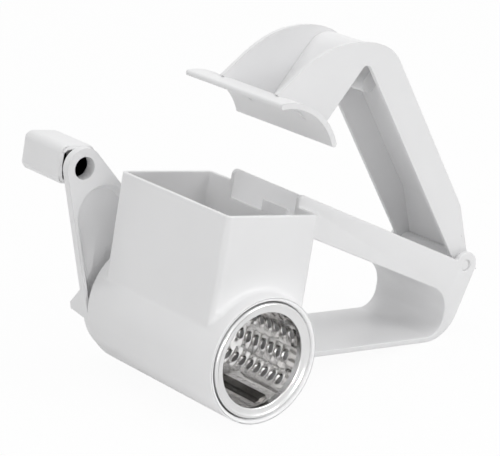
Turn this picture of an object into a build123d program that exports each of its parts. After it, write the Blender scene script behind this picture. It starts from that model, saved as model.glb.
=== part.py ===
from build123d import *
import os
from math import asin, atan2, cos, hypot, pi, radians, sin, sqrt, tan

# Rotary drum grater for the kitchen, in millimetres, +Z up, standing on z = 0.
# A hopper stands on a horizontal barrel. A perforated drum turns inside the barrel, driven
# by a crank behind it, and its open mouth is the outlet in front. A beam with a finger loop
# runs to the right. The pusher arm hinges at its end and presses the food onto the drum.
#
# Outlines are drawn on cross-sections square to the drum's axis, seen from the mouth:
# local x runs across the hopper and local y up it, both from the drum's axis. A station is
# a distance behind the mouth. The body leans to the right until the finger loop touches
# the table, so these planes are turned by the same lean.

# ---------------------------------------------------------------- driving dimensions
wall = 2.5  # moulded walls
running_gap = 0.08  # shafts that turn in bores
fit_gap = 0.05  # pieces that are pushed together and stay

# barrel and hopper
barrel_radius = 33.0
barrel_length = 105.0
rear_wall = 3.5
drum_bore = 30.4
hopper_width = 59.0
hopper_front = 9.7  # station of the hopper's front wall
hopper_back = 5.9  # from the hopper's rear wall to the barrel's end
hopper_top = 71.2  # height of the rim above the drum's axis
hopper_corner = 3.5
throat = 8.0  # height where the hopper opens into the barrel
mouth_bevel = 1.4
crease_round = 3.5  # where the hopper's walls meet the barrel

# beam, finger loop and hinge ears
beam_front = 24.4  # station of the beam's front side
beam_width = 55.3
plate = 2.6  # each side plate of the beam
pin_across = 153.5  # hinge pin, from the drum's axis
pin_up = 37.5
beam_slope = 17.5  # degrees, falling to the right
beam_top = 0.9  # top edge, above the line through the pin
beam_depth = 17.5  # underside, below that line
beam_nose = 3.0  # round at the top of the plates, over the hopper
ear_radius = 7.5
loop_web = 3.0  # strip that lines the loop
loop_inset = 10.3  # from the hinge pin to the inner right side of the loop
bar_slope = 3.0  # degrees, lower bar, rising to the right
bar_across = 60.0  # a point on the bar's upper side
bar_up = -5.7
heel_radius = 21.5  # lower right corner of the handle
loop_upper_round = 15.0
loop_lower_round = 11.0
tab_across = 39.0  # raised tab on the floor of the beam's channel
tab_thick = 3.0
tab_length = 20.0
tab_height = 6.0

# drum
ring_radius = 29.8
ring_inner = 24.6
ring_dish = 0.9
ring_skirt = 5.5
sheet = 0.7
shell_radius = 27.6
shell_front = 2.6
shell_flats = 28  # the roll's flats, two for each row
tooth_rows = 12
first_row = -33.0  # degrees from the hopper's right
tooth_pitch = 6.0
first_tooth = 12.5  # station
tooth_long = 5.2  # hole, round the drum
tooth_wide = 3.0  # hole, along the drum
tooth_lip = 0.45
tooth_rise = 1.1
seam_angle = -65.0
seam_width = 7.0
seam_thick = 1.4
seam_inset = 8.0  # from each end of the shell

# drive plate in the drum's rear end
drive_end_gap = 0.5  # to the barrel's rear wall
drive_sleeve = 5.5
drive_plate = 2.4
drive_boss_radius = 12.0
drive_boss_length = 11.0
hexagon_flats = 13.8
hexagon_length = 8.0

# crank
knob_across = -45.9  # knob axis, from the drum's axis
knob_up = 70.2
crank_gap = 2.0
crank_hub_radius = 31.2
crank_hub_back = 20.0  # radius of the hub's flat back
crank_hub_depth = 14.0
crank_arm_depth = 6.4
crank_arm_bevel = 2.0
crank_boss_radius = 10.4
crank_rim = 1.8  # edge of the hollow
crank_wall = 2.4  # floor of the hollow
hollow_start = 29.0  # middle of the hollow's upper end, from the knob axis
hollow_slope = 35.0  # degrees, sides of the hollow
fin_angle = 195.0  # small fin on the hub's back, from the hopper's right
fin_length = 17.5  # behind the crank's front
fin_thick = 4.5
fin_root = 21.0  # at the arm's back
fin_tip = 3.6
fin_drop = 4.0  # lower side of the root, below the fin's middle
shaft_radius = 10.0
spigot_radius = 8.0
spigot_bore = 6.0
spigot_length = 31.5
snap_rise = 0.5
snap_width = 1.4

# knob
knob_width = 21.5
knob_height = 20.5
knob_length = 35.5
knob_corner = 4.5
knob_end_bevel = 1.6
knob_gap = 0.3

# pusher arm, drawn in its closed place on the beam
arm_open = 33.5  # degrees up from closed
arm_gap = 2.2  # between each cheek and the side plate beside it
arm_web = 2.2  # cheeks and the web between them
arm_top = 14.2  # outer edge, above the line through the pin
arm_bottom = -3.3  # inner edge
arm_shoulder = 31.0  # where the outer edge starts to drop, from the pin
arm_neck = 13.5
knuckle_radius = 7.0
knuckle_tube = 5.6
cheek_foot_across = -19.6  # points on the cheeks' back edge, from the foot up
cheek_foot_up = 30.5
cheek_low_across = -9.3
cheek_low_up = 63.3
cheek_high_across = 8.3
cheek_high_up = 82.7
cheek_top_across = 24.7
cheek_top_up = 90.4
cheek_crest = 37.5
foot_wall = 17.0  # right side of the wall above the foot
foot_corner = 3.5
web_bend = 14.0
foot_inner = 32.5
foot_thick = 3.0
foot_right = 57.5  # degrees from the hopper's right
foot_left = 136.5
foot_front_gap = 2.7  # to the hopper's front wall
foot_back_gap = 4.6  # to its rear wall
foot_round = 1.3
lug_across = 38.0  # lug over the tab in the beam's channel
lug_up = 73.5
lug_radius = 4.5
lug_front = 42.5  # station
lug_length = 10.0

# hinge pin
pin_radius = 3.0
pin_recess = 1.0

# from the middle of the whole part to the drum's axis
axis_x = -61.7413

# ---------------------------------------------------------------- worked out
slope = radians(beam_slope)
bar = radians(bar_slope)
mouth_y = -(barrel_length + crank_gap + crank_arm_depth + knob_gap + knob_length) / 2
hopper_length = barrel_length - hopper_front - hopper_back
hopper_middle = hopper_front + hopper_length / 2
beam_back = beam_front + beam_width
inside = hopper_width / 2 - wall
rear_wall_front = barrel_length - rear_wall
crease_up = sqrt(barrel_radius**2 - (hopper_width / 2) ** 2)
drive_back = rear_wall_front - drive_end_gap
teeth_in_row = 1 + int((drive_back - drive_sleeve - first_tooth) / tooth_pitch)
loop_end = pin_across - loop_inset
crank_front = barrel_length + crank_gap
arm_width = beam_width - 2 * (plate + arm_gap)
arm_back = beam_back - plate - arm_gap
foot_front = hopper_front + wall + foot_front_gap
foot_length = hopper_length - 2 * wall - foot_front_gap - foot_back_gap
cheek_foot = (cheek_foot_across, cheek_foot_up)
cheek_low = (cheek_low_across, cheek_low_up)
cheek_high = (cheek_high_across, cheek_high_up)
cheek_top = (cheek_top_across, cheek_top_up)


def on_beam(along, above):
    """A point measured from the hinge pin: along the beam towards the hopper, and above it."""
    return (
        pin_across - along * cos(slope) + above * sin(slope),
        pin_up + along * sin(slope) + above * cos(slope),
    )


def beam_line(across, above):
    """The point at a distance across on a line parallel to the beam."""
    return (across, pin_up + (pin_across - across) * tan(slope) + above / cos(slope))


def bar_line(across, below):
    """The point at a distance across on the lower bar's upper side, or on a line below it."""
    return (across, bar_up + (across - bar_across) * tan(bar) - below / cos(bar))


def heel(inset):
    """Where the handle's end edge and its underside meet, or lines inset from both."""
    end_x, end_y = on_beam(inset - ear_radius, 0)
    under_x, under_y = bar_line(bar_across, loop_web - inset)
    upright = pi / 2 - slope
    reach = (under_x - end_x) * sin(bar) - (under_y - end_y) * cos(bar)
    travel = reach / sin(bar - upright)
    return (end_x + travel * cos(upright), end_y + travel * sin(upright))


# The body rests on the barrel and on the round of the handle's heel.
heel_across, heel_up = heel(heel_radius)
rise_to_heel = asin((barrel_radius - heel_radius) / hypot(heel_across, heel_up))
lean = atan2(heel_up, heel_across) + rise_to_heel


def section(station, turn=0.0):
    """Cross-section plane at a station, facing the mouth, turned clockwise by turn radians."""
    return Plane(
        origin=(axis_x, mouth_y + station, barrel_radius),
        x_dir=(cos(lean + turn), 0, -sin(lean + turn)),
        z_dir=(0, -1, 0),
    )


def level(up):
    """Plan plane at a height up the hopper, centred on the hopper and facing up it."""
    middle = section(hopper_middle)
    return Plane(middle.from_local_coords((0, up, 0)), x_dir=middle.x_dir, z_dir=middle.y_dir)


def arm_section(station):
    """Cross-section plane that swings with the arm, drawn on as if the arm were closed."""
    turned = section(station, radians(arm_open))
    pin_point = section(station).from_local_coords((pin_across, pin_up, 0))
    shift = turned.x_dir * pin_across + turned.y_dir * pin_up
    return Plane(pin_point - shift, x_dir=turned.x_dir, z_dir=turned.z_dir)


def outward(angle):
    """Plane through the drum's axis facing outward at an angle, with x along the drum."""
    across = section(0)
    away = across.x_dir * cos(radians(angle)) + across.y_dir * sin(radians(angle))
    return Plane(across.origin, x_dir=(0, 1, 0), z_dir=away)


drum_axis = Axis(section(0).origin, (0, 1, 0))
lathe = Plane(section(0).origin, x_dir=(1, 0, 0), z_dir=(0, 0, 1))  # x radius, y station

os.makedirs("parts", exist_ok=True)

# ---------------------------------------------------------------- housing
# One moulding: hopper, barrel, beam of two side plates, and the finger loop below it.
with BuildPart() as housing:
    # handle: the whole profile, then the finger loop through it
    with BuildSketch(section(beam_back)) as handle:
        with BuildLine():
            Polyline(
                beam_line(inside, beam_top),
                on_beam(-ear_radius, beam_top),
                heel(0),
                bar_line(inside / 2, loop_web),
                (inside / 2, 0),
                (inside, 0),
                close=True,
            )
        make_face()
        fillet(handle.vertices().sort_by_distance(heel(0))[0], heel_radius)
        fillet(handle.vertices().sort_by_distance(beam_line(inside, beam_top))[0], beam_nose)
        with Locations((pin_across, pin_up)):
            Circle(ear_radius)
    extrude(amount=beam_width)
    with BuildSketch(section(beam_back)) as loop:
        with BuildLine():
            Polyline(
                beam_line(inside, -beam_depth),
                beam_line(loop_end, -beam_depth),
                bar_line(loop_end, 0),
                bar_line(inside / 2, 0),
                close=True,
            )
        make_face()
        fillet(loop.vertices().sort_by_distance(beam_line(loop_end, -beam_depth))[0], loop_upper_round)
        fillet(loop.vertices().sort_by_distance(bar_line(loop_end, 0))[0], loop_lower_round)
    extrude(amount=beam_width, mode=Mode.SUBTRACT)
    # barrel and hopper, still solid
    with BuildSketch(section(barrel_length)):
        Circle(barrel_radius)
    extrude(amount=barrel_length)
    with BuildSketch(level(hopper_top)):
        RectangleRounded(hopper_width, hopper_length, hopper_corner)
    extrude(amount=-hopper_top)
    # channel between the side plates, down to the strip that lines the loop
    with BuildSketch(section(beam_back - plate)) as channel:
        with BuildLine():
            Polyline(
                beam_line(inside - wall, -beam_depth),
                beam_line(inside - wall, 2 * ear_radius),
                on_beam(-2 * ear_radius, 2 * ear_radius),
                on_beam(-2 * ear_radius, -4 * beam_depth),
                beam_line(inside + wall, -5 * beam_depth),
                close=True,
            )
        make_face()
        offset(loop.sketch_local, amount=loop_web, mode=Mode.SUBTRACT)
        with BuildLine():
            Polyline(
                (0, 0),
                beam_line(inside, -beam_depth),
                beam_line(loop_end, -beam_depth),
                bar_line(loop_end, loop_web),
                bar_line(0, 4 * loop_web),
                close=True,
            )
        make_face(mode=Mode.SUBTRACT)
    extrude(amount=beam_width - 2 * plate, mode=Mode.SUBTRACT)
    # inside of the hopper and of the barrel
    with BuildSketch(level(hopper_top)):
        RectangleRounded(2 * inside, hopper_length - 2 * wall, hopper_corner - wall)
    extrude(amount=throat - hopper_top, mode=Mode.SUBTRACT)
    with BuildSketch(section(rear_wall_front)):
        Circle(drum_bore)
    extrude(amount=rear_wall_front, mode=Mode.SUBTRACT)
    with BuildSketch(section(barrel_length)):
        Circle(shaft_radius + running_gap)
    extrude(amount=rear_wall, mode=Mode.SUBTRACT)
    # raised tab on the floor of the channel
    with BuildSketch(section(hopper_middle + tab_length / 2)):
        with BuildLine():
            Polyline(
                beam_line(tab_across - tab_thick / 2, -beam_depth),
                beam_line(tab_across + tab_thick / 2, -beam_depth),
                beam_line(tab_across + tab_thick / 2, loop_web - beam_depth + tab_height),
                beam_line(tab_across - tab_thick / 2, loop_web - beam_depth + tab_height),
                close=True,
            )
        make_face()
    extrude(amount=tab_length)
    # hinge holes through both ears
    with BuildSketch(section(beam_back)):
        with Locations((pin_across, pin_up)):
            Circle(pin_radius + fit_gap)
    extrude(amount=beam_width, mode=Mode.SUBTRACT)
    chamfer(housing.edges().filter_by(GeomType.CIRCLE).sort_by(Axis.Y)[0], mouth_bevel)
    crease = section(hopper_middle).from_local_coords((-hopper_width / 2, crease_up, 0))
    fillet(housing.edges().sort_by_distance(crease)[0], crease_round)
housing.part.label = "housing"
export_step(housing.part, "parts/housing.step")

# ---------------------------------------------------------------- drum shell
# Rolled from one sheet with a folded seam inside. Every tooth is a hole whose lip rises to
# a cutting edge on one side. Rows stand half a pitch out of step with their neighbours, each
# on a narrow flat of the roll.
with BuildPart() as tooth:
    with BuildSketch(Plane.XY.offset(shell_radius - sheet / 2)):
        lip_long = tooth_long / 2 + tooth_lip
        lip_wide = tooth_wide / 2 + tooth_lip
        Polygon(
            (0, lip_long), (-lip_wide, lip_wide / 2), (-lip_wide, -lip_wide / 2),
            (0, -lip_long), (lip_wide, -lip_wide / 2), (lip_wide, lip_wide / 2),
            align=None,
        )
    extrude(amount=sheet / 2 + tooth_rise)
    ramp = Plane((0, -lip_long, shell_radius), x_dir=(1, 0, 0), z_dir=(0, -tooth_rise, 2 * lip_long))
    split(bisect_by=ramp, keep=Keep.BOTTOM)

with BuildPart() as tooth_hole:
    with BuildSketch(Plane.XY.offset(shell_radius - 2 * sheet)):
        half_wide = tooth_wide / 2
        Polygon(
            (0, tooth_long / 2), (-half_wide, half_wide / 2), (-half_wide, -half_wide / 2),
            (0, -tooth_long / 2), (half_wide, -half_wide / 2), (half_wide, half_wide / 2),
            align=None,
        )
    extrude(amount=2 * sheet + 2 * tooth_rise)

tooth_turn = 2 * 360 / shell_flats  # the seam takes the place of two rows
tooth_spots = [
    outward(first_row + row * tooth_turn).location
    * Location((first_tooth + (place + row % 2 / 2) * tooth_pitch, 0, 0))
    for row in range(tooth_rows)
    for place in range(teeth_in_row)
]
shell_length = drive_back - shell_front
with BuildPart() as drum_shell:
    with BuildSketch(section(drive_back)):
        first_corner = first_row - tooth_turn / 4
        RegularPolygon(shell_radius, shell_flats, major_radius=False, rotation=first_corner)
        offset(amount=-sheet, mode=Mode.SUBTRACT)
    extrude(amount=shell_length)
    add([spot * tooth.part for spot in tooth_spots])
    add([spot * tooth_hole.part for spot in tooth_spots], mode=Mode.SUBTRACT)
    with BuildSketch(outward(seam_angle).offset(shell_radius - sheet - seam_thick)):
        with Locations((shell_front + shell_length / 2, 0)):
            Rectangle(shell_length - 2 * seam_inset, seam_width)
    extrude(amount=seam_thick + sheet / 2)
drum_shell.part.label = "drum_shell"
export_step(drum_shell.part, "parts/drum_shell.step")

# ---------------------------------------------------------------- drum front ring
# Pressed ring at the open end: dished face, skirt outside, sleeve inside the shell.
with BuildPart() as drum_front_ring:
    with BuildSketch(lathe):
        sleeve = shell_radius - sheet - fit_gap
        with BuildLine():
            Polyline(
                (ring_radius, ring_skirt),
                (ring_radius, sheet),
                (ring_radius - sheet, 0),
                (ring_radius - 2 * sheet, 0),
                (ring_inner + sheet, ring_dish),
                (ring_inner, ring_dish + sheet),
                (ring_inner, ring_dish + 2 * sheet),
                (sleeve - sheet, ring_dish + 2 * sheet),
                (sleeve - sheet, ring_skirt + sheet),
                (sleeve, ring_skirt + sheet),
                (sleeve, ring_dish + sheet),
                (ring_radius - 2 * sheet, sheet),
                (ring_radius - sheet, 2 * sheet),
                (ring_radius - sheet, ring_skirt),
                close=True,
            )
        make_face()
    revolve(axis=drum_axis)
drum_front_ring.part.label = "drum_front_ring"
export_step(drum_front_ring.part, "parts/drum_front_ring.step")

# ---------------------------------------------------------------- drum drive plate
# Closes the drum's rear end. Its boss carries the hexagonal socket for the crank's shaft.
with BuildPart() as drum_drive_plate:
    with BuildSketch(lathe):
        with BuildLine():
            Polyline(
                (0, drive_back),
                (sleeve, drive_back),
                (sleeve, drive_back - drive_sleeve),
                (sleeve - drive_plate, drive_back - drive_sleeve),
                (sleeve - drive_plate, drive_back - drive_plate),
                (drive_boss_radius, drive_back - drive_plate),
                (drive_boss_radius, drive_back - drive_boss_length),
                (0, drive_back - drive_boss_length),
                close=True,
            )
        make_face()
    revolve(axis=drum_axis)
    with BuildSketch(section(drive_back)):
        RegularPolygon(hexagon_flats / 2 + fit_gap, 6, major_radius=False)
    extrude(amount=hexagon_length + 2 * running_gap, mode=Mode.SUBTRACT)
drum_drive_plate.part.label = "drum_drive_plate"
export_step(drum_drive_plate.part, "parts/drum_drive_plate.step")

# ---------------------------------------------------------------- crank arm
# One moulding behind the barrel: a dished arm that widens into a deep hub, the shaft with
# its hexagonal end in front, and the hollow spigot for the knob behind.
hub_inside = crank_hub_radius - crank_rim
hub_floor = crank_front + crank_hub_depth - crank_wall
crank_reach = hypot(knob_across, knob_up)
with BuildPart() as crank_arm:
    with BuildSketch(section(crank_front + crank_arm_depth)):
        Circle(crank_hub_radius)
        with Locations((knob_across, knob_up)):
            Circle(crank_boss_radius)
        make_hull()
    extrude(amount=crank_arm_depth)
    chamfer(crank_arm.faces().sort_by(Axis.Y)[-1].edges(), crank_arm_bevel)
    with BuildSketch(lathe):
        with BuildLine():
            Polyline(
                (0, crank_front),
                (crank_hub_radius - crank_rim, crank_front),
                (crank_hub_radius - crank_rim, crank_front + crank_arm_depth - crank_arm_bevel),
                (crank_hub_back, crank_front + crank_hub_depth),
                (0, crank_front + crank_hub_depth),
                close=True,
            )
        make_face()
    revolve(axis=drum_axis)
    # fin on the edge of the hub's back
    with BuildSketch(outward(fin_angle).offset(crank_hub_radius - crank_wall)) as fin:
        with BuildLine():
            Polyline(
                (crank_front + crank_arm_bevel, fin_drop - fin_root),
                (crank_front + fin_length, -fin_tip / 2),
                (crank_front + fin_length, fin_tip / 2),
                (crank_front + crank_arm_bevel, fin_drop),
                close=True,
            )
        make_face()
        fillet(fin.vertices().group_by(Axis.Y)[-1], fin_tip / 3)
    extrude(amount=crank_wall - crank_rim / 2)
    extrude(fin.sketch, amount=crank_wall - fin_thick)
    # hollow, open towards the barrel, and the bowl in the hub
    with BuildSketch(section(crank_front)):
        Circle(hub_inside)
        spread = hollow_start / crank_reach
        with Locations((knob_across * (1 - spread), knob_up * (1 - spread))):
            Circle(crank_boss_radius + spread * (crank_hub_radius - crank_boss_radius) - crank_rim)
        make_hull()
    extrude(amount=crank_wall - crank_arm_depth, taper=hollow_slope, mode=Mode.SUBTRACT)
    with BuildSketch(lathe):
        with BuildLine():
            Polyline(
                (0, crank_front),
                (hub_inside - crank_wall, crank_front),
                (crank_hub_back - crank_wall, hub_floor),
                (0, hub_floor),
                close=True,
            )
        make_face()
    revolve(axis=drum_axis, mode=Mode.SUBTRACT)
    # spigot with its snap bead, shaft and hexagon
    with BuildSketch(section(crank_front + crank_arm_depth + spigot_length)):
        with Locations((knob_across, knob_up)):
            Circle(spigot_radius)
    extrude(amount=spigot_length)
    with BuildSketch(section(crank_front + crank_arm_depth + spigot_length - snap_width)):
        with Locations((knob_across, knob_up)):
            Circle(spigot_radius + snap_rise)
    extrude(amount=snap_width)
    with BuildSketch(section(crank_front + crank_arm_depth + spigot_length)):
        with Locations((knob_across, knob_up)):
            Circle(spigot_bore)
    extrude(amount=crank_arm_depth + spigot_length, mode=Mode.SUBTRACT)
    shaft_front = drive_back + drive_end_gap / 2
    with BuildSketch(section(hub_floor)):
        Circle(shaft_radius)
    extrude(amount=hub_floor - shaft_front)
    with BuildSketch(section(shaft_front)):
        RegularPolygon(hexagon_flats / 2, 6, major_radius=False)
    extrude(amount=hexagon_length)
crank_arm.part.label = "crank_arm"
export_step(crank_arm.part, "parts/crank_arm.step")

# ---------------------------------------------------------------- knob
# Rounded block with a blind bore that snaps over the spigot's bead and turns on it.
knob_front = crank_front + crank_arm_depth + knob_gap
knob_floor = crank_front + crank_arm_depth + spigot_length + knob_gap
with BuildPart() as knob:
    with BuildSketch(section(knob_front + knob_length)):
        with Locations((knob_across, knob_up)):
            RectangleRounded(knob_width, knob_height, knob_corner)
    extrude(amount=knob_length)
    ends = knob.faces().sort_by(Axis.Y)
    chamfer(ends[0].edges() + ends[-1].edges(), knob_end_bevel)
    with BuildSketch(section(knob_floor)):
        with Locations((knob_across, knob_up)):
            Circle(spigot_radius + running_gap)
    extrude(amount=knob_floor - knob_front, mode=Mode.SUBTRACT)
    with BuildSketch(section(knob_floor - snap_width + knob_gap)):
        with Locations((knob_across, knob_up)):
            Circle(spigot_radius + snap_rise + running_gap)
    extrude(amount=snap_width + 2 * knob_gap, mode=Mode.SUBTRACT)
knob.part.label = "knob"
export_step(knob.part, "parts/knob.step")

# ---------------------------------------------------------------- pusher arm
# One moulding: two cheeks, the web that joins them, the arched presser foot, which is
# concentric with the drum when closed, and the knuckle on the hinge pin.
with BuildPart() as pusher_arm:
    with BuildSketch(arm_section(arm_back)) as cheeks:
        with BuildLine():
            crest = beam_line(cheek_crest, arm_top)
            Spline(
                cheek_foot,
                cheek_low,
                cheek_high,
                cheek_top,
                crest,
                tangents=((1, 4), (cos(slope), -sin(slope))),
            )
            Polyline(
                crest,
                on_beam(arm_shoulder, arm_top),
                on_beam(arm_neck, knuckle_radius),
                on_beam(0, knuckle_radius),
                on_beam(0, arm_bottom),
                beam_line(foot_wall, arm_bottom),
                (foot_wall, foot_inner),
                cheek_foot,
            )
        make_face()
        fillet(cheeks.vertices().sort_by_distance(beam_line(foot_wall, arm_bottom))[0], foot_corner)
        with Locations((pin_across, pin_up)):
            Circle(knuckle_radius)
    extrude(amount=arm_width)
    with BuildSketch(arm_section(arm_back - arm_web)):
        Rectangle(4 * pin_across, 4 * pin_across)
    extrude(amount=arm_width - 2 * arm_web, mode=Mode.SUBTRACT)
    # web: up from the foot, round the bend and along the outer edge to the knuckle
    half_web = arm_web / 2
    with BuildSketch(arm_section(arm_back)):
        with BuildLine():
            FilletPolyline(
                (foot_wall - half_web, foot_inner),
                beam_line(foot_wall - half_web, arm_top - half_web),
                on_beam(arm_shoulder - half_web, arm_top - half_web),
                on_beam(0, knuckle_tube - half_web),
                radius=web_bend,
            )
            offset(amount=half_web)
        make_face()
    extrude(amount=arm_width)
    # foot
    with BuildSketch(arm_section(foot_front + foot_length)) as foot:
        with BuildLine():
            arch = foot_left - foot_right
            inner = CenterArc((0, 0), foot_inner, foot_right, arch)
            outer = CenterArc((0, 0), foot_inner + foot_thick, foot_right, arch)
            Line(inner @ 0, outer @ 0)
            Line(inner @ 1, outer @ 1)
        make_face()
        fillet(foot.vertices(), foot_round)
    extrude(amount=foot_length)
    # lug that comes down over the tab in the beam's channel
    with BuildSketch(arm_section(lug_front + lug_length)):
        lug_root = beam_line(lug_across, arm_top - half_web - lug_radius)
        with Locations((lug_across, lug_up), lug_root):
            Circle(lug_radius)
        make_hull()
    extrude(amount=lug_length)
    # knuckle and its bore
    knuckle_length = beam_width - 2 * plate - 2 * knob_gap
    with BuildSketch(arm_section(beam_back - plate - knob_gap)):
        with Locations((pin_across, pin_up)):
            Circle(knuckle_tube)
    extrude(amount=knuckle_length)
    with BuildSketch(arm_section(beam_back)):
        with Locations((pin_across, pin_up)):
            Circle(pin_radius + running_gap)
    extrude(amount=beam_width, mode=Mode.SUBTRACT)
pusher_arm.part.label = "pusher_arm"
export_step(pusher_arm.part, "parts/pusher_arm.step")

# ---------------------------------------------------------------- hinge pin
with BuildPart() as hinge_pin:
    with BuildSketch(section(beam_back - pin_recess)):
        with Locations((pin_across, pin_up)):
            Circle(pin_radius)
    extrude(amount=beam_width - 2 * pin_recess)
hinge_pin.part.label = "hinge_pin"
export_step(hinge_pin.part, "parts/hinge_pin.step")
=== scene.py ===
from math import atan2, cos, pi, radians, sin

import bmesh
import bpy
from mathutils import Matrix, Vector


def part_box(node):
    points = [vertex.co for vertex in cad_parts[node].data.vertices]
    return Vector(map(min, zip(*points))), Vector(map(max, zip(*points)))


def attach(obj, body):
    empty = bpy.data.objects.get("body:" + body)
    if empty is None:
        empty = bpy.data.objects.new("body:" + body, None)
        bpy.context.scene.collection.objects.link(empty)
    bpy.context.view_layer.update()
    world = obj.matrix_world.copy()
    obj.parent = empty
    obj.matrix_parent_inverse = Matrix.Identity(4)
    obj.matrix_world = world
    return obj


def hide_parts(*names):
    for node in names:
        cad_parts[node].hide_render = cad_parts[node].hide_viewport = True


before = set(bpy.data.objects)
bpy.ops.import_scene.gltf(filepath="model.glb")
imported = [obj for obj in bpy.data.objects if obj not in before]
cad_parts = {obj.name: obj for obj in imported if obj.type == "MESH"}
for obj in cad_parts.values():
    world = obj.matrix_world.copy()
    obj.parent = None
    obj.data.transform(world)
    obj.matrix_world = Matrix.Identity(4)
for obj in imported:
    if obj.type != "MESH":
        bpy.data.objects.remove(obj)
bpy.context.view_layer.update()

# Housing: hopper, barrel, beam, finger loop and hinge ears, injection moulded in one shot
# of white polypropylene. The mould leaves every edge slightly rounded and the skin satin,
# with a very fine orange peel.
MM = 0.001
milk_white, milk_shade = (0.88, 0.88, 0.885), (0.85, 0.85, 0.855)


class Value:
    """A node's output that can be used in Python expressions."""

    def __init__(self, tree, socket):
        self.tree, self.socket = tree, socket

    def maths(self, operation, left, right):
        return self.tree.make("ShaderNodeMath", {"operation": operation}, {0: left, 1: right})

    def __add__(self, other):
        return self.maths("ADD", self, other)

    def __radd__(self, other):
        return self.maths("ADD", other, self)

    def __mul__(self, other):
        return self.maths("MULTIPLY", self, other)

    def __rmul__(self, other):
        return self.maths("MULTIPLY", other, self)

    def __floordiv__(self, other):
        return self.maths("FLOOR", self.maths("DIVIDE", self, other), 0.0)

    def __rfloordiv__(self, other):
        return self.maths("FLOOR", self.maths("DIVIDE", other, self), 0.0)

    def __mod__(self, other):
        return self.maths("MODULO", self, other)

    def __rmod__(self, other):
        return self.maths("MODULO", other, self)


class Tree:
    """A tree of shader or geometry nodes, built node by node."""

    def __init__(self, node_tree):
        self.nodes, self.links = node_tree.nodes, node_tree.links

    def feed(self, node, values):
        """Sets or links a node's sockets, given by name or by place."""
        for key, value in values.items():
            if isinstance(value, Value):
                self.links.new(value.socket, node.inputs[key])
            else:
                node.inputs[key].default_value = value

    def make(self, kind, settings=None, values=None, output=0):
        """Adds a node, sets it, feeds its sockets and gives one of its outputs, if it has any."""
        node = self.nodes.new(kind)
        for key, setting in (settings or {}).items():
            setattr(node, key, setting)
        self.feed(node, values or {})
        return Value(self, node.outputs[output]) if node.outputs else None


def new_finish(name):
    """A material still without a pattern, and its tree."""
    material = bpy.data.materials.new(name)
    material.use_nodes = True
    return material, Tree(material.node_tree)


def two_tones(tree, blotches, dark, light):
    """A colour that wanders between two tones."""
    return tree.make(
        "ShaderNodeMix", {"data_type": "RGBA"},
        {0: blotches, 6: (*dark, 1), 7: (*light, 1)}, output=2)


def plastic_finish(name, roughness, edge_round=0.0):
    """White moulded plastic: a faint cloudiness in the colour, and an orange-peel skin."""
    cloud_scale, peel_scale = 35.0, 900.0
    peel_depth, peel_strength, peel_gloss = 0.1 * MM, 0.05, 0.06
    material, tree = new_finish(name)
    place = tree.make("ShaderNodeTexCoord", output="Object")
    cloud = tree.make(
        "ShaderNodeTexNoise", values={"Vector": place, "Scale": cloud_scale, "Detail": 2.0})
    peel = tree.make(
        "ShaderNodeTexNoise", values={"Vector": place, "Scale": peel_scale, "Detail": 3.0})
    skin = {"Strength": peel_strength, "Distance": peel_depth, "Height": peel}
    if edge_round:
        skin["Normal"] = tree.make("ShaderNodeBevel", {"samples": 6}, {"Radius": edge_round})
    tree.feed(tree.nodes["Principled BSDF"], {
        "Base Color": two_tones(tree, cloud, milk_shade, milk_white),
        "Roughness": roughness + peel_gloss * peel,
        "Normal": tree.make("ShaderNodeBump", values=skin)})
    return material


def merged_copy(node):
    """A CAD node's mesh, with its loose triangles joined."""
    shape = bmesh.new()
    shape.from_mesh(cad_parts[node].data)
    bmesh.ops.remove_doubles(shape, verts=shape.verts, dist=0.002 * MM)
    return shape


def into_scene(name, mesh):
    """Puts a mesh, already in its place, into the scene."""
    piece = bpy.data.objects.new(name, mesh)
    bpy.context.scene.collection.objects.link(piece)
    return piece


def made_from(shape, name, smooth=True):
    """Puts a shape into the scene and frees it."""
    mesh = bpy.data.meshes.new(name)
    shape.to_mesh(mesh)
    shape.free()
    mesh.polygons.foreach_set("use_smooth", [smooth] * len(mesh.polygons))
    return into_scene(name, mesh)


def evaluated(piece):
    """Turns a piece with modifiers into a plain one of the same name."""
    graph = bpy.context.evaluated_depsgraph_get()
    mesh = bpy.data.meshes.new_from_object(piece.evaluated_get(graph), depsgraph=graph)
    name = piece.name
    bpy.data.objects.remove(piece)
    return into_scene(name, mesh)


def softened(node, name, edge_round):
    """A copy of a moulding with the rounded edges that the mould gives it."""
    flat_angle, sharp_angle = radians(0.6), radians(32.0)
    shape = merged_copy(node)
    bmesh.ops.dissolve_limit(
        shape, angle_limit=flat_angle, verts=shape.verts, edges=shape.edges,
        use_dissolve_boundaries=False)
    piece = made_from(shape, name)
    bevel = piece.modifiers.new("edges", "BEVEL")
    bevel.width, bevel.segments = edge_round, 3
    bevel.limit_method, bevel.angle_limit = "ANGLE", sharp_angle
    bevel.use_clamp_overlap = False
    bevel.harden_normals = True
    bevel.miter_outer = "MITER_ARC"
    return evaluated(piece)


def finish_piece(piece, material, body, slot, *nodes):
    """Gives a piece its material and its body, and hides the nodes it stands for. Its slot is not
    used.
    """
    piece.data.materials.clear()
    piece.data.materials.append(material)
    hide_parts(*nodes)
    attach(piece, body)


white_plastic = plastic_finish("white_plastic", roughness=0.3)
housing = softened("housing", "housing_moulding", 0.7 * MM)
finish_piece(housing, white_plastic, "body", "white_plastic", "housing")

# Pusher arm: two cheeks, a web and the curved foot, moulded in one shot of the same white
# plastic. It swings on the hinge pin. Its mesh keeps its corners, and its finish rounds them
# in the shading.


def creased(node, name):
    """A copy of a moulding that is smooth up to its corners."""
    corner_angle = radians(25.0)
    shape = merged_copy(node)
    corners = [edge for edge in shape.edges if edge.calc_face_angle(0) > corner_angle]
    bmesh.ops.split_edges(shape, edges=corners)
    return made_from(shape, name)


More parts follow.
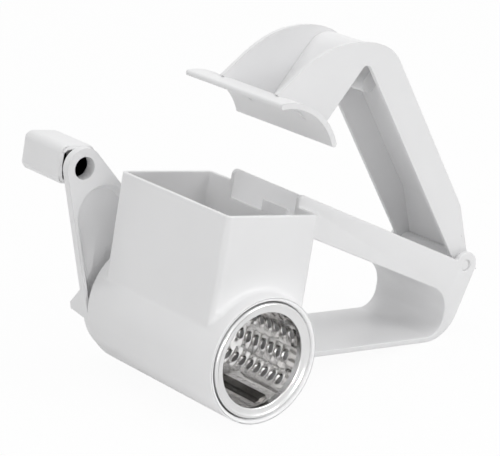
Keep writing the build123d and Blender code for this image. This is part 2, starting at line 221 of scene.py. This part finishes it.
soft_plastic = plastic_finish("soft_plastic", roughness=0.3, edge_round=0.5 * MM)
pusher = creased("pusher_arm", "pusher_moulding")
finish_piece(pusher, soft_plastic, "arm", "white_plastic", "pusher_arm")

# Hinge pin: a short moulded rod of the same white plastic, pressed through both ears and
# through the arm's knuckle between them.
hinge_pin = softened("hinge_pin", "hinge_rod", 0.4 * MM)
finish_piece(hinge_pin, white_plastic, "body", "white_pin", "hinge_pin")

# Crank: a spoon-shaped white moulding behind the barrel, with the drive shaft at its hub and
# the knob's spigot at its other end. Its corners are rounded like the pusher arm's.
crank = creased("crank_arm", "crank_moulding")
finish_piece(crank, soft_plastic, "crank", "white_plastic", "crank_arm")

# Knob: a hollow white moulded block with rounded corners, snapped over the crank's spigot,
# on which it turns in the fingers.
knob = softened("knob", "knob_moulding", 1.1 * MM)
finish_piece(knob, white_plastic, "grip", "white_plastic", "knob")

# Drum shell: stainless sheet, pierced flat in staggered rows so that each hole's rim stands
# out as a cutting edge, then rolled and closed with a folded seam.
ring_low, ring_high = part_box("drum_front_ring")
axis_x, axis_z = (ring_low.x + ring_high.x) / 2, (ring_low.z + ring_high.z) / 2
mouth_y = ring_low.y
lean = 12.11  # degrees that the tool leans to the right, onto its finger loop
shell_radius, sheet = 27.6 * MM, 0.7 * MM
shell_front, shell_back = 2.6 * MM, 101.0 * MM  # behind the mouth, as all stations along it
slots, rows, teeth_in_row = 14, 12, 14
slot_width = 2 * pi * shell_radius / slots
first_row = -33.0  # degrees up from the hopper's right
first_tooth, tooth_pitch = 12.5 * MM, 6.0 * MM
hole_long, hole_wide = 2.7 * MM, 1.95 * MM
dimple_long, dimple_wide = 3.8 * MM, 2.85 * MM
tooth_rise, tooth_back = 1.1 * MM, 0.35 * MM
rim_steps = (0.0, 0.35, 0.7, 1.0)  # from the hole's edge to the dimple's
steps_across, steps_along = 8, 4  # on the sides of one tooth's share of the sheet
end_steps, blank_steps = 3, 16
joining = 0.02 * MM


def rolled(across, along, out):
    """A point of the flat sheet, once the sheet is rolled round the drum's axis."""
    angle = radians(first_row - lean) + across / shell_radius
    reach = shell_radius + out
    return (axis_x + reach * cos(angle), mouth_y + along, axis_z + reach * sin(angle))


def cell_edge():
    """Points round one tooth's share of the sheet, evenly spaced on each of its sides."""
    half_across, half_along = slot_width / 2, tooth_pitch / 2
    across = [half_across * (1 - 2 * i / steps_across) for i in range(steps_across)]
    along = [half_along * (2 * i / steps_along - 1) for i in range(steps_along)]
    right = [(half_across, y) for y in along]
    back = [(x, half_along) for x in across]
    left = [(-half_across, -y) for y in along]
    front = [(-x, -half_along) for x in across]
    return right + back + left + front


def tooth_cell():
    """One pierced tooth in the flat sheet: a hole whose rim rises most on its cutting side."""
    edge = cell_edge()
    rings = []
    for step in rim_steps:
        long_radius = hole_long + step * (dimple_long - hole_long)
        wide_radius = hole_wide + step * (dimple_wide - hole_wide)
        ring = []
        for across, along in edge:
            turn = atan2(along / tooth_pitch * 2, across / tooth_pitch)
            rise = tooth_back + (tooth_rise - tooth_back) * (0.5 + 0.5 * cos(turn))
            swell = (0.5 + 0.5 * cos(pi * step)) * rise
            ring.append((long_radius * cos(turn), wide_radius * sin(turn), swell))
        rings.append(ring)
    rings.append([(across, along, 0.0) for across, along in edge])
    count = len(edge)
    faces = [
        (r * count + i, (r + 1) * count + i, (r + 1) * count + (i + 1) % count,
         r * count + (i + 1) % count)
        for r in range(len(rings) - 1) for i in range(count)]
    mesh = bpy.data.meshes.new("tooth_cell")
    mesh.from_pydata([point for ring in rings for point in ring], [], faces)
    return mesh


def tooth_rows_group():
    """Repeats the tooth over the flat sheet, every other row half a pitch further on."""
    group = bpy.data.node_groups.new("tooth_rows", "GeometryNodeTree")
    for name, kind in (
            ("Tooth", "Geometry"), ("Rows", "Int"), ("Teeth in row", "Int"),
            ("Row pitch", "Float"), ("Tooth pitch", "Float"), ("Steel", "Material")):
        group.interface.new_socket(name, in_out="INPUT", socket_type="NodeSocket" + kind)
    group.interface.new_socket("Sheet", in_out="OUTPUT", socket_type="NodeSocketGeometry")
    tree = Tree(group)
    given = {item.name: tree.make("NodeGroupInput", output=item.name)
             for item in group.interface.items_tree if item.in_out == "INPUT"}
    tooth = tree.make("GeometryNodeInputIndex")
    row = tooth // given["Teeth in row"]
    along_row = tooth % given["Teeth in row"] + 0.5 * (row % 2.0)
    spot = tree.make("ShaderNodeCombineXYZ", values={
        "X": row * given["Row pitch"], "Y": along_row * given["Tooth pitch"]})
    points = tree.make("GeometryNodePoints", values={
        "Count": given["Rows"] * given["Teeth in row"], "Position": spot})
    teeth = tree.make("GeometryNodeInstanceOnPoints", values={
        "Points": points, "Instance": given["Tooth"]})
    real = tree.make("GeometryNodeRealizeInstances", values={"Geometry": teeth})
    joined = tree.make("GeometryNodeMergeByDistance", values={
        "Geometry": real, "Distance": joining})
    steel = tree.make("GeometryNodeSetMaterial", values={
        "Geometry": joined, "Material": given["Steel"]})
    tree.make("NodeGroupOutput", values={"Sheet": steel})
    return group


def steel_finish(name, colour, roughness, streak_strength, stretch):
    """Bright sheet steel: fine streaks in its skin, and faint smears in its gloss and colour."""
    smear_scale, smear_gloss, smear_shade = 90.0, 0.12, 0.88
    streak_scale, streak_depth = 300.0, 0.05 * MM
    material, tree = new_finish(name)
    place = tree.make("ShaderNodeTexCoord", output="Object")
    drawn = tree.make("ShaderNodeMapping", values={"Vector": place, "Scale": stretch})
    streaks = tree.make(
        "ShaderNodeTexNoise", values={"Vector": drawn, "Scale": streak_scale, "Detail": 3.0})
    smears = tree.make(
        "ShaderNodeTexNoise", values={"Vector": place, "Scale": smear_scale, "Detail": 2.0})
    dulled = [smear_shade * part for part in colour]
    bump = tree.make("ShaderNodeBump", values={
        "Strength": streak_strength, "Distance": streak_depth, "Height": streaks})
    tree.feed(tree.nodes["Principled BSDF"], {
        "Base Color": two_tones(tree, smears, dulled, colour), "Metallic": 1.0,
        "Roughness": roughness + smear_gloss * smears, "Normal": bump})
    return material


round_the_drum = (1.0, 6.0, 1.0)
drum_steel = steel_finish(
    "drum_steel", (0.89, 0.88, 0.87), roughness=0.03, streak_strength=0.15, stretch=round_the_drum)

teeth = into_scene("teeth", tooth_cell())
pattern = teeth.modifiers.new("tooth_rows", "NODES")
pattern.node_group = tooth_rows_group()
inputs = {item.name: item.identifier for item in pattern.node_group.interface.items_tree
          if item.in_out == "INPUT"}
pattern[inputs["Rows"]] = rows
pattern[inputs["Teeth in row"]] = teeth_in_row
pattern[inputs["Row pitch"]] = slot_width
pattern[inputs["Tooth pitch"]] = tooth_pitch
pattern[inputs["Steel"]] = drum_steel
teeth = evaluated(teeth)
shell = bmesh.new()
shell.from_mesh(teeth.data)
bpy.data.objects.remove(teeth)


def plain_strip(slot, start, end, steps):
    """An unpierced stretch of the flat sheet, one row wide."""
    grid = [
        [shell.verts.new((
            slot_width * (slot - 0.5 + i / steps_across),
            start + (end - start) * j / steps, 0.0)) for i in range(steps_across + 1)]
        for j in range(steps + 1)]
    for lower, upper in zip(grid, grid[1:]):
        for i in range(steps_across):
            shell.faces.new((lower[i], lower[i + 1], upper[i + 1], upper[i]))


sheet_start, sheet_end = shell_front - first_tooth, shell_back - first_tooth
row_start, row_end = -tooth_pitch / 2, (teeth_in_row - 0.5) * tooth_pitch
for slot in range(slots):
    ahead = tooth_pitch / 2 * (slot % 2)
    if slot < rows:
        plain_strip(slot, sheet_start, row_start + ahead, end_steps)
        plain_strip(slot, row_end + ahead, sheet_end, end_steps)
    else:
        plain_strip(slot, sheet_start, sheet_end, blank_steps)
for vert in shell.verts:
    vert.co = rolled(vert.co.x, vert.co.y + first_tooth, vert.co.z)
bmesh.ops.remove_doubles(shell, verts=shell.verts, dist=joining)
bmesh.ops.recalc_face_normals(shell, faces=shell.faces)
drum = made_from(shell, "drum_sheet")
wall = drum.modifiers.new("sheet", "SOLIDIFY")
wall.thickness, wall.offset = sheet, -1.0
drum = evaluated(drum)
finish_piece(drum, drum_steel, "crank", "drum_steel", "drum_shell")

# Folded seam: the sheet's two edges are hooked into each other inside the drum and pressed
# flat, which leaves a double bar along it. Its near-black colour is a painted dark reflection.
seam_angle = -65.0  # degrees up from the hopper's right
seam_start, seam_end = 10.6 * MM, 93.0 * MM
seam_profile = [  # across the drum and in from the sheet, in millimetres
    (-3.5, -0.3), (-3.5, 0.6), (-1.2, 0.6), (-1.0, 1.4), (3.5, 1.4), (3.5, -0.3)]


def bar_along_drum(name, angle, profile, start, end):
    """A bar that runs along the inside of the drum."""
    shape = bmesh.new()
    out = Vector((cos(angle), 0, sin(angle)))
    side = Vector((-out.z, 0, out.x))
    ends = []
    for station in (start, end):
        centre = Vector((axis_x, mouth_y + station, axis_z))
        ends.append([
            shape.verts.new(
                centre + side * across * MM + out * (shell_radius - sheet - inward * MM))
            for across, inward in profile])
    for i in range(len(profile)):
        j = (i + 1) % len(profile)
        shape.faces.new((ends[0][i], ends[0][j], ends[1][j], ends[1][i]))
    for end_points in ends:
        shape.faces.new(end_points)
    bmesh.ops.recalc_face_normals(shape, faces=shape.faces)
    piece = made_from(shape, name, smooth=False)
    bevel = piece.modifiers.new("edges", "BEVEL")
    bevel.width, bevel.segments = 0.2 * MM, 2
    return evaluated(piece)


# Painted dark reflection: the seam is the drum's bright steel, but it is coloured nearly black
# here.
seam_painted_dark = steel_finish(
    "seam_painted_dark", (0.12, 0.115, 0.11), roughness=0.08, streak_strength=0.1, stretch=round_the_drum)
seam = bar_along_drum("drum_seam", radians(seam_angle - lean), seam_profile, seam_start, seam_end)
seam.data.materials.append(seam_painted_dark)
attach(seam, "crank")

# Front ring: polished steel, spun to a dished face with a rolled bead inside, a skirt that
# covers the end of the shell and a sleeve that fits into it.
ring_steps = 128
ring_profile = [  # radius and distance behind the mouth, in millimetres
    (29.8, 5.5), (29.8, 1.0), (29.7, 0.6), (29.45, 0.25), (29.1, 0.05), (28.7, 0.0), (28.3, 0.15),
    (27.9, 0.42), (27.3, 0.62), (26.4, 0.8), (25.5, 0.9), (25.0, 0.95), (24.75, 1.15),
    (24.6, 1.5), (24.62, 1.9), (24.85, 2.2), (25.3, 2.3), (26.1, 2.3), (26.1, 6.2),
    (26.8, 6.2), (26.8, 1.9), (28.6, 1.2), (29.1, 1.5), (29.1, 5.5)]
lathe = bmesh.new()
loops = []
for step in range(ring_steps):
    angle = 2 * pi * step / ring_steps
    loops.append([
        lathe.verts.new((
            axis_x + radius * MM * cos(angle), mouth_y + station * MM,
            axis_z + radius * MM * sin(angle)))
        for radius, station in ring_profile])
for near, far in zip(loops, loops[1:] + loops[:1]):
    for i in range(len(ring_profile)):
        j = (i + 1) % len(ring_profile)
        lathe.faces.new((near[i], near[j], far[j], far[i]))
bmesh.ops.recalc_face_normals(lathe, faces=lathe.faces)
ring_steel = steel_finish(
    "ring_steel", (0.86, 0.86, 0.86), roughness=0.1, streak_strength=0.05, stretch=(1.0, 1.0, 1.0))
ring = made_from(lathe, "mouth_ring")
finish_piece(ring, ring_steel, "crank", "ring_steel", "drum_front_ring")

# Drive plate: a white moulded disc, a little duller than the housing, pressed into the drum's
# rear end. The crank's hexagon fits the socket at its centre.
drive_plastic = plastic_finish("drive_plastic", roughness=0.4)
drive = softened("drum_drive_plate", "drive_moulding", 0.3 * MM)
finish_piece(drive, drive_plastic, "crank", "drive_plastic", "drum_drive_plate")

# Studio: a white floor in a white room. The camera sees both nearly as white as paper, but
# the light they give is dimmer, so that the white plastic keeps its shading.
white = (1, 1, 1, 1)
floor_reach = 6.0
floor_share_seen, floor_share_mirrored = 0.95, 0.35
room_light, room_seen = 0.48, 1.0


def rays(tree):
    """Whether a ray comes from the camera, and whether it is a mirrored one."""
    return (tree.make("ShaderNodeLightPath", output="Is Camera Ray"),
            tree.make("ShaderNodeLightPath", output="Is Glossy Ray"))


floor_mesh = bpy.data.meshes.new("floor")
floor_mesh.from_pydata(
    [(x * floor_reach, y * floor_reach, 0) for x, y in ((-1, -1), (1, -1), (1, 1), (-1, 1))],
    [], [(0, 1, 2, 3)])
floor = into_scene("floor", floor_mesh)
sweep, tree = new_finish("sweep")
from_camera, mirrored = rays(tree)
diffuse = tree.make("ShaderNodeBsdfDiffuse", values={"Color": (0.9, 0.9, 0.9, 1)})
glow = tree.make("ShaderNodeEmission", values={"Color": white, "Strength": 1.0})
mixed = tree.make("ShaderNodeMixShader", values={
    0: from_camera * floor_share_seen + mirrored * floor_share_mirrored, 1: diffuse, 2: glow})
tree.feed(tree.nodes["Material Output"], {"Surface": mixed})
floor_mesh.materials.append(sweep)

world = bpy.data.worlds.new("studio")
bpy.context.scene.world = world
world.use_nodes = True
tree = Tree(world.node_tree)
from_camera, mirrored = rays(tree)
tree.feed(tree.nodes["Background"], {
    "Color": white,
    "Strength": room_light + (room_seen - room_light) * (from_camera + mirrored)})

# Lamps and camera: three large soft boxes, and a small narrow one that looks into the drum's
# mouth. The camera stands where the photo's camera stood, as fitted to the tool's outlines.
tool_middle = (0.0, 0.0, 0.08)
drum_mouth = (axis_x, mouth_y, axis_z)


def soft_box(name, place, size, power, target=tool_middle, spread=180.0):
    """A square lamp, aimed at a target."""
    lamp = bpy.data.lights.new(name, "AREA")
    lamp.shape, lamp.size, lamp.energy = "SQUARE", size, power
    lamp.spread = radians(spread)
    lamp_object = bpy.data.objects.new(name, lamp)
    lamp_object.location = place
    aim = Vector(target) - Vector(place)
    lamp_object.rotation_euler = aim.to_track_quat("-Z", "Y").to_euler()
    bpy.context.scene.collection.objects.link(lamp_object)


soft_box("key", place=(0.9, -1.3, 1.1), size=1.0, power=10.0)
soft_box("top", place=(0.0, 0.2, 1.8), size=1.2, power=10.0)
soft_box("fill", place=(-1.5, -0.7, 0.5), size=1.0, power=3.2)
soft_box(
    "mouth", place=(-0.08, -1.2, 0.07), size=0.04, power=0.0065, target=drum_mouth, spread=3.0)

camera_place = (-0.72029, -0.90531, 0.49332)
camera_turns = (69.7744, 0.3650, -38.1878)
camera = bpy.data.cameras.new("camera")
camera.lens, camera.sensor_width = 169.405, 36.0
camera.clip_end = 20.0
camera_object = bpy.data.objects.new("camera", camera)
camera_object.location = camera_place
camera_object.rotation_euler = [radians(turn) for turn in camera_turns]
bpy.context.scene.collection.objects.link(camera_object)
bpy.context.scene.camera = camera_object
bpy.context.scene.view_settings.view_transform = "Standard"
